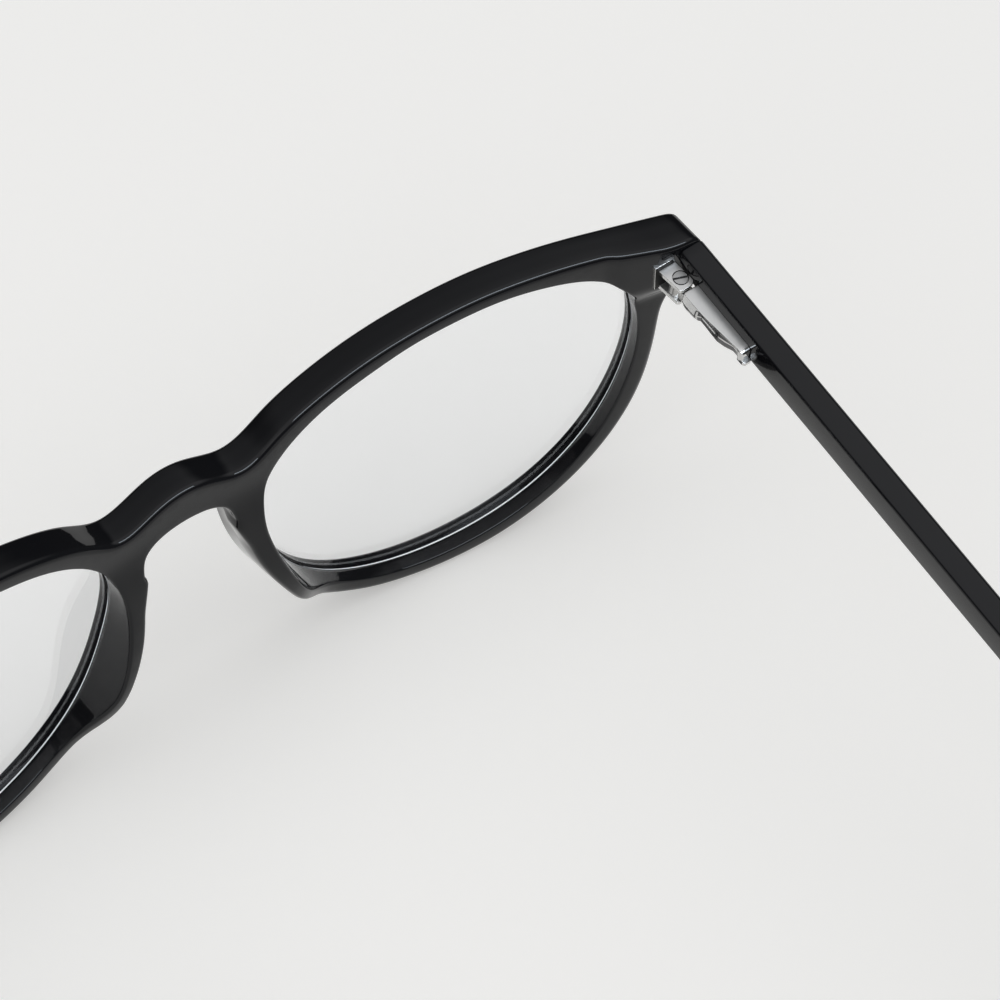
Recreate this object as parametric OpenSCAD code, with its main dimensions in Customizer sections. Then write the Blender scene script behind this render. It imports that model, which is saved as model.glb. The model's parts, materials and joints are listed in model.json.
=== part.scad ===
// Acetate eyeglasses with spring hinges, standing open on the rim bottoms
// and the temple tips. Front faces -Y, temples run towards +Y, +Z is up.
// The origin is under the middle of the part, on the surface it stands on.
// "right" and "left" are the wearer's: right is -X, left is +X.

/* [Front] */
// Overall width across the end pieces
front_w = 133.4; // [132.4:0.2:135]
// Width of one lens opening
lens_w = 50; // [48.5:0.5:51.5]
// Height of one lens opening
lens_h = 43.5; // [42:0.5:44]
// Distance between the two lens openings
bridge_w = 20; // [18.5:0.5:21.5]
// Thickness of the front
front_t = 4.4; // [4:0.1:4.8]
// Radius of the curve that the front follows from side to side
front_r = 296; // [280:2:320]

/* [Lenses] */
// Thickness of a lens at its edge
lens_t = 1.4; // [1.2:0.1:1.8]
// Depth of the groove that holds the lens
groove_d = 0.8; // [0.5:0.1:1]
// Depth of the lens behind the front face
lens_back = 1.3; // [1.1:0.1:1.5]

/* [Nose pads] */
// Height of the pad crest behind the back of the front
pad_h = 3.8; // [3:0.2:4.2]
// Angle by which the nose side opens towards the back
pad_splay = 12; // [8:1:16]

/* [Temples] */
// Thickness of a temple
temple_t = 3.3; // [3:0.1:3.6]
// Height of the straight part of a temple
temple_h = 4.6; // [4.3:0.1:4.9]
// Distance from the hinge screw to the ear bend
bend_y = 86; // [82:1:92]
// Downward slope of the temple against the front
slope = 9.4; // [8.4:0.2:10.4]
// Height of the rounded tip
tip_h = 6.4; // [5.6:0.2:7]
// Height of the core wire
wire_h = 1.4; // [1:0.1:1.8]
// Thickness of the core wire
wire_t = 0.9; // [0.7:0.1:1]

/* [Hinges] */
// Distance of a hinge screw in from the side of the part
hinge_in = 4.4; // [4.2:0.1:4.6]
// Height of the hinge knuckle along the screw
hinge_h = 3.2; // [3:0.1:3.4]
// Thickness of one leaf
leaf_t = 0.6; // [0.5:0.05:0.7]
// Radius of the screw shank
screw_r = 0.5; // [0.4:0.05:0.5]
// Radius of the screw head
head_r = 0.88; // [0.8:0.02:0.92]
// Length of the spring housing
house_l = 10; // [9:0.5:11]
// Radial running clearance in the knuckle
run = 0.04; // [0.02:0.01:0.06]

/* [Hidden] */
$fn = 48;

hinge_y = 13.8;              // screw behind the front face at the bridge
hinge_z = 39.9;              // middle of the knuckle above the ground
half = front_w / 2;
hinge_x = half - hinge_in;
in_x = half - temple_t - hinge_x;   // temple's inner face beside the screw axis
out_x = half - hinge_x;             // temple's outer face beside the screw axis
butt_y = 12.3;               // back face of the end piece
butt_gap = 0.15;             // gap between end piece and temple
recess = 0.8;                // depth of the temple's recess beside the knuckle
knuckle = hinge_h - 2 * leaf_t - 0.1;
sleeve_r = 0.75;
rod_r = 0.26;                // pull rod in the spring housing
mid = [bridge_w / 2 + lens_w / 2, 24.2];   // middle of the left lens opening
psi = asin(mid[0] / front_r);              // direction that the opening is cut in
tail = 43;
tip_y = bend_y + tail;
tip_r = tip_h / 2;
// height of the tip in the temple's own frame, so that it stands on the ground
tip_z = (tip_r - hinge_z + tip_y * sin(slope)) / cos(slope);
y_mid = (hinge_y + tip_y * cos(slope) + tip_z * sin(slope) + tip_r) / 2;

// points between p1 and p2 on a smooth curve through p0 to p3
function blend(p0, p1, p2, p3, t) =
    0.5 * (2 * p1 + (p2 - p0) * t + (2 * p0 - 5 * p1 + 4 * p2 - p3) * t * t
           + (3 * p1 - p0 - 3 * p2 + p3) * t * t * t);
function loop_curve(P, n) = let (k = len(P))
    [for (i = [0:k - 1], j = [0:n - 1])
        blend(P[(i - 1 + k) % k], P[i], P[(i + 1) % k], P[(i + 2) % k], j / n)];
function open_curve(P, n) = let (k = len(P) - 1) concat(
    [for (i = [0:k - 1], j = [0:n - 1])
        blend(P[max(i - 1, 0)], P[i], P[i + 1], P[min(i + 2, k)], j / n)], [P[k]]);

// lens shape in half widths and half heights of its box, nose side at -1
lens_shape = [[1, 0.335], [0.89, 0.735], [0.575, 0.94], [0.285, 1], [0.05, 1],
    [-0.18, 0.965], [-0.43, 0.885], [-0.75, 0.715], [-1, 0.335], [-0.955, -0.14],
    [-0.76, -0.59], [-0.4, -0.905], [0.05, -1], [0.48, -0.865], [0.79, -0.52], [0.96, -0.095]];

// outline of half the front, from the middle of the bridge over the top
top_line = [[0, 40.5], [3, 39.9], [6, 38.55], [8.5, 38.05], [11, 39.2], [13.5, 41.1],
    [16, 42.6], [19, 43.95], [23, 45.4], [28, 46.7], [34, 47.6], [40, 48.0],
    [46, 47.65], [52, 46.85], [58, 45.7], [62.6, 44.6], [half - 0.6, 44]];
rim_line = [[63.6, 34.5], [62.9, 31.5], [61.5, 21], [56.6, 11], [47.8, 3.4], [36.2, 0],
    [24.4, 2.2], [15.4, 8], [11.5, 13], [9.2, 18], [7.6, 23], [6.7, 27.5], [6.4, 31]];
under_line = [[6.2, 32.6], [5.2, 34], [3, 35.2], [0, 35.9]];
half_outline = concat(open_curve(top_line, 4), [[half, 43], [half, 38.2]],
    [[half - 1.2, 36.8]], open_curve(rim_line, 5), open_curve(under_line, 4));

// moves the left side's drawing to the wearer's left, or its mirror image to the right
module side(s) { if (s > 0) children(); else mirror([1, 0, 0]) children(); }
// frame of the front: y = 0 on the front face at the bridge
module at_front() { translate([0, -y_mid, 0]) children(); }
// frame of the hinge: z along the screw, y along the temple, x towards the outside
module at_hinge() { at_front() translate([hinge_x, hinge_y, hinge_z]) rotate([-slope, 0, 0]) children(); }
// extrudes an x-z drawing along y
module along_y(y0, y1) { translate([0, y1, 0]) rotate([90, 0, 0]) linear_extrude(y1 - y0) children(); }
// extrudes a y-z drawing along x
module along_x(x0, x1) { translate([x0, 0, 0]) rotate([90, 0, 90]) linear_extrude(x1 - x0) children(); }
// curved sheet between depths d0 and d1 behind the front face
module sheet(d0, d1, z0, z1, w) {
    translate([0, 0, z0]) linear_extrude(z1 - z0) intersection() {
        difference() {
            translate([0, front_r]) circle(front_r - d0, $fn = 200);
            translate([0, front_r]) circle(front_r - d1, $fn = 200);
        }
        translate([-w, -5]) square([2 * w, 40]);
    }
}
// lens outline grown by g, cut square to the front where the lens sits
module lens_prism(g) {
    translate([mid[0], mid[0] * mid[0] / (2 * front_r), mid[1]]) rotate([0, 0, psi])
        along_y(-8, 20) polygon([for (p = loop_curve(lens_shape, 4)) [p[0] * (lens_w / 2 + g), p[1] * (lens_h / 2 + g)]]);
}

module front_frame() {
    color([0.02, 0.02, 0.025]) at_front() difference() {
        union() {
            intersection() {
                sheet(0, front_t, 0, 50, half);
                along_y(-5, 30) polygon(concat(half_outline, [for (i = [len(half_outline) - 2:-1:1]) [-half_outline[i][0], half_outline[i][1]]]));
            }
            for (s = [-1, 1]) side(s) intersection() {
                translate([0, 0, 36.8]) linear_extrude(10) polygon([[55, 6], [55, 9.4], [57.6, 10], [59.4, 10.7],
                    [61, 11.7], [62.2, butt_y], [half, butt_y], [half, 6]]);
                translate([0, front_r, 0]) cylinder(r = front_r - 0.01, h = 60, $fn = 200);
                along_y(-5, 30) polygon(half_outline);
            }
        }
        for (s = [-1, 1]) side(s) {
            lens_prism(0);
            intersection() {
                lens_prism(groove_d);
                sheet(lens_back, lens_back + lens_t, -2, 52, half);
            }
            // pocket of the hinge plate and the holes of its two anchor pins
            translate([hinge_x - 2.1, 11.55, hinge_z - 0.5]) cube([2.8, 3, 3.2]);
            translate([hinge_x - 1.9, 11.75, hinge_z - 1.8]) cube([2.4, 3, 3.9]);
            for (z = [0.3, 1.9]) translate([hinge_x - 0.6, 11.6, hinge_z + z]) rotate([90, 0, 0]) cylinder(r = 0.45, h = 2);
        }
    }
}

module nose_pad(s) {
    color([0.02, 0.02, 0.025]) at_front() side(s) intersection() {
        difference() {
            along_y(2, 16) polygon(concat(open_curve([[6.5, 31], [6.7, 27.5], [7.6, 23], [9.2, 18], [11.5, 13], [14.2, 9.4]], 4),
                [[17.5, 9.6]], open_curve([[16, 12], [13, 15.6], [11.4, 20.5], [10.4, 25.5], [9.7, 29], [9.2, 31]], 4)));
            // nose side opens towards the back
            translate([6.6, 4.4, 28]) rotate([0, 25, 0]) rotate([0, 0, -pad_splay]) translate([-10, -10, -40]) cube([10, 40, 60]);
            lens_prism(0);
        }
        // back of the front bounds the pad towards the front
        translate([0, front_r, 0]) cylinder(r = front_r - front_t, h = 60, $fn = 200);
        along_x(0, 30) polygon(concat([[2, 31.2], [4.6, 31.2]],
            open_curve([[5, 29.5], [5.9, 27.6], [7.2, 24.5], [front_t + pad_h, 20.5], [front_t + pad_h, 17], [front_t + pad_h - 0.6, 13.6], [6.6, 10.6], [5, 9.2]], 4), [[2, 9]]));
    }
}

module lens(s) {
    color([0.85, 0.9, 0.95, 0.3]) at_front() side(s) intersection() {
        lens_prism(groove_d - 0.05);
        sheet(lens_back, lens_back + lens_t, -2, 52, half);
    }
}

// one leaf of the knuckle, seen along the screw
module leaf_plan() { polygon([[-1.6, -3], [0.7, -3], [1.1, 0.75], [0.75, 1.4], [-0.9, 1.55], [-1.1, 1.35]]); }

module front_hinge(s) {
    color([0.78, 0.78, 0.77]) side(s) {
        difference() {
            union() {
                at_front() translate([hinge_x - 2.1, 11.55, hinge_z - 0.5]) cube([2.8, 0.55, 3.2]);
                at_front() for (z = [0.3, 1.9]) translate([hinge_x - 0.6, 11.6, hinge_z + z]) rotate([90, 0, 0]) cylinder(r = 0.45, h = 1.9);
                difference() {
                    at_hinge() for (z = [hinge_h / 2 - leaf_t, -hinge_h / 2]) translate([0, 0, z]) linear_extrude(leaf_t) leaf_plan();
                    at_front() translate([50, 0, 30]) cube([20, butt_y + 0.03, 20]);
                }
                // boss that carries both leaves behind the plate
                at_front() translate([hinge_x - 1.9, 11.75, hinge_z - 1.8]) cube([2.4, butt_y + 0.25 - 11.75, 3.9]);
            }
            at_hinge() translate([0, 0, -3]) cylinder(r = screw_r, h = 6);
            at_hinge() translate([0, 0, hinge_h / 2 - 0.3]) cylinder(r = head_r + 0.02, h = 2);
        }
    }
}

module hinge_screw(s) {
    color([0.82, 0.82, 0.82]) side(s) at_hinge() difference() {
        union() {
            translate([0, 0, -hinge_h / 2]) cylinder(r = screw_r, h = hinge_h - 0.3);
            translate([0, 0, hinge_h / 2 - 0.3]) cylinder(r = head_r, h = 0.3);
        }
        translate([-1, -0.1, hinge_h / 2 - 0.16]) cube([2, 0.2, 1]);
    }
}

module hinge_bushing(s) {
    color("silver") side(s) at_hinge() translate([0, 0, -knuckle / 2]) difference() {
        cylinder(r = sleeve_r, h = knuckle);
        translate([0, 0, -1]) cylinder(r = screw_r + run, h = knuckle + 2);
    }
}

// eye round the sleeve, its square neck and the pull rod behind it
module hinge_eye(s) {
    color([0.75, 0.75, 0.75]) side(s) at_hinge() difference() {
        union() {
            translate([0, 0, -knuckle / 2]) cylinder(r = 1.15, h = knuckle);
            translate([-0.75, 0.6, -0.75]) cube([1.5, 2.6, 1.5]);
            translate([0, 3, 0]) rotate([-90, 0, 0]) cylinder(r = rod_r, h = 5.2);
        }
        translate([0, 0, -3]) cylinder(r = sleeve_r + run, h = 6);
    }
}

module spring_nut(s) {
    color("gainsboro") side(s) at_hinge() translate([0, 7.5, 0]) rotate([-90, 0, 0]) difference() {
        cylinder(r = 0.5, h = 0.5);
        translate([0, 0, -1]) cylinder(r = rod_r, h = 3);
    }
}

// coil spring on the pull rod, swept from round sections
coil_r = 0.4;
wire_r = 0.09;
coil_turns = 6;
coil_n = coil_turns * 14;
function coil_pt(i, k) = let (a = 360 * coil_turns * i / coil_n, b = 360 * k / 6, r = coil_r + wire_r * cos(b))
    [r * cos(a), r * sin(a), 0.15 + 2.2 * i / coil_n + wire_r * sin(b)];
module hinge_spring(s) {
    color("silver") side(s) at_hinge() translate([0, 5, 0]) rotate([-90, 0, 0]) polyhedron(
        points = [for (i = [0:coil_n], k = [0:5]) coil_pt(i, k)],
        faces = concat([[5, 4, 3, 2, 1, 0]], [[for (k = [0:5]) coil_n * 6 + k]],
            [for (i = [0:coil_n - 1], k = [0:5]) [i * 6 + k, i * 6 + (k + 1) % 6, (i + 1) * 6 + (k + 1) % 6]],
            [for (i = [0:coil_n - 1], k = [0:5]) [i * 6 + k, (i + 1) * 6 + (k + 1) % 6, (i + 1) * 6 + k]]));
}

module spring_housing(s) {
    color([0.8, 0.8, 0.8]) side(s) at_hinge() {
        difference() {
            union() {
                intersection() {
                    linear_extrude(hinge_h, center = true) polygon([[in_x, 1.95], [-0.85, 1.95], [-1.05, 2.4], [-1.05, 4.6],
                        [-0.9, 6.6], [-0.72, 9.3], [-0.2, 1.9 + house_l], [in_x, 1.9 + house_l]]);
                    along_x(-3, 3) polygon([[1.9, -1.3], [3, -1.6], [6, -1.6], [1.9 + house_l, -1.2], [1.9 + house_l, 1.5], [11, 1.6], [1.9, 1.6]]);
                }
                for (y = [4, 9.6]) translate([in_x - 0.1, y, 0]) rotate([0, 90, 0]) cylinder(r = 0.5, h = 0.9);
            }
            translate([-0.78, 0, -0.78]) cube([1.56, 4.3, 1.56]);
            translate([0, 4, 0]) rotate([-90, 0, 0]) cylinder(r = rod_r + 0.05, h = 2);
            translate([0, 4.5, 0]) rotate([-90, 0, 0]) cylinder(r = 0.56, h = 4.6);
        }
    }
}

// spine of a temple in its own frame: along the temple, height, half height
mid_z = 3.65 - temple_h / 2;
spine = [[-4, mid_z, temple_h / 2], [20, mid_z, temple_h / 2], [45, mid_z, temple_h / 2], [bend_y - 22, mid_z, temple_h / 2],
    [bend_y - 8, mid_z - 0.1, temple_h / 2 + 0.05], [bend_y, mid_z - 0.7, temple_h / 2 + 0.15],
    [bend_y + 8, mid_z - 2.5, temple_h / 2 + 0.35], [bend_y + 17, mid_z - 6, temple_h / 2 + 0.6],
    [bend_y + 28, mid_z - 10.8, tip_r - 0.1], [tip_y, tip_z, tip_r]];
spine_c = open_curve(spine, 5);
function unit(v) = v / norm(v);
function spine_n(i) = let (a = spine_c[max(i - 1, 0)], b = spine_c[min(i + 1, len(spine_c) - 1)], d = unit([b[0] - a[0], b[1] - a[1]])) [-d[1], d[0]];
module spine_band(k, w, last) {
    polygon(concat([for (i = [0:last]) [spine_c[i][0], spine_c[i][1]] + spine_n(i) * (w > 0 ? w : k * spine_c[i][2])],
        [for (i = [last:-1:0]) [spine_c[i][0], spine_c[i][1]] - spine_n(i) * (w > 0 ? w : k * spine_c[i][2])]));
}
// the tail leans inwards a little behind the ear bend
function lean(y) = y < bend_y ? 0 : 0.8 * pow((y - bend_y) / tail, 2);

module temple_plan(x0, x1) {
    polygon(concat([for (y = [-4, 20, 60, bend_y, bend_y + 10, bend_y + 20, bend_y + 30, bend_y + 48]) [x0 - lean(y), y]],
        [for (y = [bend_y + 48, bend_y + 30, bend_y + 20, bend_y + 10, bend_y, 60, 20, -4]) [x1 - lean(y), y]]));
}

module temple(s) {
    color([0.03, 0.03, 0.035]) side(s) difference() {
        at_hinge() difference() {
            intersection() {
                union() {
                    along_x(-4, 8) spine_band(1, 0, len(spine_c) - 1);
                    translate([-4, tip_y, tip_z]) rotate([0, 90, 0]) cylinder(r = tip_r, h = 12);
                }
                translate([0, 0, -40]) linear_extrude(60) temple_plan(in_x, out_x);
            }
            core_shape();
            for (y = [4, 9.6]) translate([in_x - 0.1, y, 0]) rotate([0, 90, 0]) cylinder(r = 0.5, h = 0.9);
            // recess beside the knuckle, so that the leaves stay clear when the temple folds
            translate([in_x - 4, -6, -hinge_h / 2 - 0.15]) cube([4 + recess, 7.95, hinge_h + 0.3]);
        }
        at_front() translate([50, 0, 20]) cube([30, butt_y + butt_gap, 40]);
    }
}

// flat core wire along the middle of a temple
module core_shape() {
    intersection() {
        along_x(-4, 8) spine_band(0, wire_h / 2, len(spine_c) - 3);
        translate([0, 0, -40]) linear_extrude(60) temple_plan((in_x + out_x) / 2 - wire_t / 2 + 0.3, (in_x + out_x) / 2 + wire_t / 2 + 0.3);
    }
}
module core_wire(s) {
    color("silver") side(s) difference() {
        at_hinge() core_shape();
        at_front() translate([50, 0, 20]) cube([30, butt_y + butt_gap, 40]);
    }
}

front_frame();
nose_pad(-1);  // nose_pad_right
nose_pad(1);  // nose_pad_left
lens(-1);  // lens_right
lens(1);  // lens_left
front_hinge(-1);  // front_hinge_right
front_hinge(1);  // front_hinge_left
hinge_screw(-1);  // hinge_screw_right
hinge_screw(1);  // hinge_screw_left
hinge_bushing(-1);  // hinge_bushing_right
hinge_bushing(1);  // hinge_bushing_left
hinge_eye(-1);  // hinge_eye_right
hinge_eye(1);  // hinge_eye_left
hinge_spring(-1);  // hinge_spring_right
hinge_spring(1);  // hinge_spring_left
spring_nut(-1);  // spring_nut_right
spring_nut(1);  // spring_nut_left
spring_housing(-1);  // spring_housing_right
spring_housing(1);  // spring_housing_left
temple(-1);  // temple_right
temple(1);  // temple_left
core_wire(-1);  // core_wire_right
core_wire(1);  // core_wire_left
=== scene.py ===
import json
import math
import bmesh
import bpy
import numpy as np
from mathutils import Matrix, Vector
from mathutils.geometry import delaunay_2d_cdt

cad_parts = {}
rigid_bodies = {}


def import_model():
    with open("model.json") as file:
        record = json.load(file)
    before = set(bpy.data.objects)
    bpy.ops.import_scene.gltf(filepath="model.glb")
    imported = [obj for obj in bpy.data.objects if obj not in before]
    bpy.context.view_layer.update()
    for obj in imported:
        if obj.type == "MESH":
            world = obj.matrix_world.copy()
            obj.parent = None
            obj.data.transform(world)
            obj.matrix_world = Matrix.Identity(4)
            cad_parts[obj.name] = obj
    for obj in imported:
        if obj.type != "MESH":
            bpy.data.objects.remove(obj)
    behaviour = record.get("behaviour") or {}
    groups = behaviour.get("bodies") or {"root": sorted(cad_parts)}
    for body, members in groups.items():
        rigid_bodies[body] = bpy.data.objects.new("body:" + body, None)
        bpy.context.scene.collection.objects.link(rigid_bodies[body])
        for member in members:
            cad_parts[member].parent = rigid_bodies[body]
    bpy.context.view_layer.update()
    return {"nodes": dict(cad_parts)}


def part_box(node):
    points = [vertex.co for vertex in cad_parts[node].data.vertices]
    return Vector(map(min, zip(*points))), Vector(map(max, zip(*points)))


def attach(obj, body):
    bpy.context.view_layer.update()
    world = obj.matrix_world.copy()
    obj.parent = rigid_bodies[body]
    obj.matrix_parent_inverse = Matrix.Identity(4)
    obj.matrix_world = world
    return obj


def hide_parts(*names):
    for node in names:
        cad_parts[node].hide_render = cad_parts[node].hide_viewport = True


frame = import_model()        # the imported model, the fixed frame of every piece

MM = 0.001
scene = bpy.context.scene

# ------------------------------------------------------------------ frame
# Working numbers are in millimetres: x across, y behind the front face at the
# bridge, z above the ground. Y_MID moves them into the part's frame.
lo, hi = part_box("front_frame")
Y_MID = -lo.y / MM
HALF = hi.x / MM
WRAP = 1.6906e-3
HX, HY, HZ = 62.3, 13.8, 39.9
TAU = math.radians(9.4)
CT, ST = math.cos(TAU), math.sin(TAU)


def row(p):
    """Front millimetres to the part's frame in metres."""
    p = np.asarray(p, float)
    return np.stack([p[..., 0], p[..., 1] - Y_MID, p[..., 2]], -1) * MM


def hinge_point(s, p):
    """Hinge millimetres (x outwards, y along the temple, z along the screw) to front millimetres."""
    p = np.asarray(p, float)
    return np.stack([s * (HX + p[..., 0]), HY + p[..., 1] * CT + p[..., 2] * ST,
                     HZ - p[..., 1] * ST + p[..., 2] * CT], -1)


# ------------------------------------------------------------------ curves
def cubic(P, n, closed=False):
    """Smooth curve through the points, n steps to each span."""
    P = [np.asarray(p, float) for p in P]
    k = len(P)
    out = []
    spans = range(k) if closed else range(k - 1)
    for i in spans:
        if closed:
            a, b, c, d = P[(i - 1) % k], P[i], P[(i + 1) % k], P[(i + 2) % k]
        else:
            b, c = P[i], P[i + 1]
            a = P[i - 1] if i > 0 else 2 * b - c
            d = P[i + 2] if i + 2 < k else 2 * c - b
        # centripetal knots keep uneven spacing free of overshoot
        t0 = 0.0
        t1 = t0 + max(np.linalg.norm(b - a), 1e-9) ** 0.5
        t2 = t1 + max(np.linalg.norm(c - b), 1e-9) ** 0.5
        t3 = t2 + max(np.linalg.norm(d - c), 1e-9) ** 0.5
        for j in range(n):
            t = t1 + (t2 - t1) * j / n
            a1 = (t1 - t) / (t1 - t0) * a + (t - t0) / (t1 - t0) * b
            a2 = (t2 - t) / (t2 - t1) * b + (t - t1) / (t2 - t1) * c
            a3 = (t3 - t) / (t3 - t2) * c + (t - t2) / (t3 - t2) * d
            b1 = (t2 - t) / (t2 - t0) * a1 + (t - t0) / (t2 - t0) * a2
            b2 = (t3 - t) / (t3 - t1) * a2 + (t - t1) / (t3 - t1) * a3
            out.append((t2 - t) / (t2 - t1) * b1 + (t - t1) / (t2 - t1) * b2)
    if not closed:
        out.append(P[-1])
    return np.array(out)


def periodic_spline(th, values):
    """Periodic cubic spline through equally spaced values, at the angles th."""
    v = np.asarray(values, float)
    n = len(v)
    h = 2 * math.pi / n
    A = np.zeros((n, n)); rhs = np.zeros(n)
    for i in range(n):
        A[i, (i - 1) % n] += 1; A[i, i] += 4; A[i, (i + 1) % n] += 1
        rhs[i] = 6 * (v[(i + 1) % n] - 2 * v[i] + v[(i - 1) % n]) / h ** 2
    m = np.linalg.solve(A, rhs)
    x = np.mod(th, 2 * math.pi) / h
    i = np.floor(x).astype(int) % n
    u = x - np.floor(x)
    j = (i + 1) % n
    return ((1 - u) * v[i] + u * v[j]
            + h * h / 6 * (((1 - u) ** 3 - (1 - u)) * m[i] + (u ** 3 - u) * m[j]))


def natural(xk, yk, x):
    """Natural cubic spline."""
    xk = np.asarray(xk, float); yk = np.asarray(yk, float)
    n = len(xk); h = np.diff(xk)
    A = np.zeros((n, n)); r = np.zeros(n)
    A[0, 0] = A[-1, -1] = 1
    for i in range(1, n - 1):
        A[i, i - 1] = h[i - 1]; A[i, i] = 2 * (h[i - 1] + h[i]); A[i, i + 1] = h[i]
        r[i] = 6 * ((yk[i + 1] - yk[i]) / h[i] - (yk[i] - yk[i - 1]) / h[i - 1])
    m = np.linalg.solve(A, r)
    x = np.asarray(x, float)
    i = np.clip(np.searchsorted(xk, x) - 1, 0, n - 2)
    a = (xk[i + 1] - x) / h[i]; b = (x - xk[i]) / h[i]
    return a * yk[i] + b * yk[i + 1] + ((a ** 3 - a) * m[i] + (b ** 3 - b) * m[i + 1]) * h[i] ** 2 / 6


def resample(P, step, closed=True):
    """Points spaced evenly along a polyline."""
    Q = np.vstack([P, P[:1]]) if closed else np.asarray(P)
    s = np.r_[0, np.cumsum(np.linalg.norm(np.diff(Q, axis=0), axis=1))]
    n = max(8, int(round(s[-1] / step)))
    t = np.linspace(0, s[-1], n + 1)
    if closed:
        t = t[:-1]
    return np.stack([np.interp(t, s, Q[:, k]) for k in range(Q.shape[1])], 1)


def smooth_loop(P, rounds):
    for _ in range(rounds):
        P = 0.25 * np.roll(P, 1, 0) + 0.5 * P + 0.25 * np.roll(P, -1, 0)
    return P


def smoothstep(a, b, x):
    t = np.clip((x - a) / (b - a), 0, 1)
    return t * t * (3 - 2 * t)


# ------------------------------------------------------------------ front: outlines
CX, CZ = 36.19, 31.5           # pole of the lens shape
LENS_R = [23.99, 22.83, 18.69, 15.73, 14.44, 14.87, 16.94, 21.65,
          26.11, 27.06, 28.53, 29.21, 29.07, 28.24, 26.35, 24.63]
T0 = 4.55                      # thickness of the rims


def lens_curve(th):
    r = periodic_spline(th, LENS_R) - 0.12
    return np.stack([CX + r * np.cos(th), CZ + r * np.sin(th)], -1)


TOP_X = [0, 3, 6, 8.5, 11, 13.5, 16, 19, 23, 28, 34, 40, 46, 52, 58, 62, 65.2]
TOP_Z = [40.55, 39.95, 38.6, 38.1, 39.28, 41.15, 42.62, 43.98, 45.43, 46.72, 47.63, 47.98, 47.65, 46.85, 45.72, 44.98, 44.42]
tx = np.linspace(-65.2, 65.2, 400)
top = np.stack([tx, natural([-v for v in TOP_X[:0:-1]] + TOP_X, TOP_Z[:0:-1] + TOP_Z, tx)], 1)
end_l = cubic([(65.2, 44.42), (66.1, 44.2), (66.6, 43.5), (66.64, 42.2), (66.62, 39.9), (66.5, 38.7), (65.95, 37.7),
               (65.0, 36.7), (63.95, 34.9), (63.25, 33.0), (62.95, 31.0), (62.4, 26.0), (61.4, 21.0), (59.6, 16.0),
               (56.7, 11.0), (52.8, 6.6), (48.0, 3.1), (42.3, 0.78), (36.2, 0.02), (30.0, 0.62), (24.1, 2.4), (18.6, 5.6),
               (14.3, 9.3), (11.3, 13.2), (9.1, 17.9), (7.5, 23.0), (6.6, 27.5), (6.3, 30.8), (6.05, 32.4),
               (5.2, 33.6), (3.0, 34.75), (0.0, 35.2)], 8)
end_r = end_l[::-1].copy(); end_r[:, 0] *= -1
outline = np.vstack([top, end_l[1:], end_r[1:-1]])
outline = resample(outline, 0.55)
outline = smooth_loop(outline, 3)
th = np.linspace(0, 2 * math.pi, 720, endpoint=False)
hole_l = resample(lens_curve(th), 0.6)
hole_r = hole_l[::-1].copy(); hole_r[:, 0] *= -1


def loop_normals(P):
    """Unit normals to the right of the way round the loop."""
    d = np.roll(P, -1, 0) - np.roll(P, 1, 0)
    d /= np.linalg.norm(d, axis=1)[:, None]
    return np.stack([d[:, 1], -d[:, 0]], 1)


def area(P):
    return 0.5 * np.sum(P[:, 0] * np.roll(P[:, 1], -1) - np.roll(P[:, 0], -1) * P[:, 1])


# outline runs so that the material is on its left, holes the other way round
if area(outline) < 0:
    outline = outline[::-1].copy()
if area(hole_l) > 0:
    hole_l = hole_l[::-1].copy()
if area(hole_r) > 0:
    hole_r = hole_r[::-1].copy()


def distance_to(P, loop):
    """Distance of points from a closed polyline."""
    out = np.empty(len(P))
    A = loop; B = np.roll(loop, -1, 0); AB = B - A; L = (AB ** 2).sum(1)
    for i in range(0, len(P), 400):
        Q = P[i:i + 400]
        t = np.clip(((Q[:, None, :] - A) * AB).sum(-1) / L, 0, 1)
        out[i:i + 400] = np.sqrt((((Q[:, None, :] - A - t[..., None] * AB)) ** 2).sum(-1).min(1))
    return out


PAD_A = [172, 176, 179, 182, 186, 190, 196, 202, 208, 213, 218, 222, 226, 230, 235, 240]
PAD_H = [0, 0.1, 0.6, 1.15, 1.65, 2.15, 2.85, 3.45, 3.8, 3.8, 3.3, 2.5, 1.6, 0.75, 0.15, 0]
BLOCK_X = [54, 56, 57, 58, 59, 60, 61, 62, 63, 64, 66, 68]
BLOCK_Y = [9.42, 9.98, 10.3, 10.7, 11.15, 11.6, 11.98, 12.24, 12.38, 12.44, 12.45, 12.45]


def pole_angle(x, z):
    """Angle round the nearer lens, 0 at the outside, growing over the top."""
    return np.degrees(np.mod(np.arctan2(z - CZ, np.abs(x) - CX), 2 * math.pi))


def pad_window(x, z):
    a = pole_angle(x, z)
    near = smoothstep(30, 22, np.abs(x))
    return near * smoothstep(178, 192, a) * (1 - smoothstep(226, 240, a))


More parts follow.
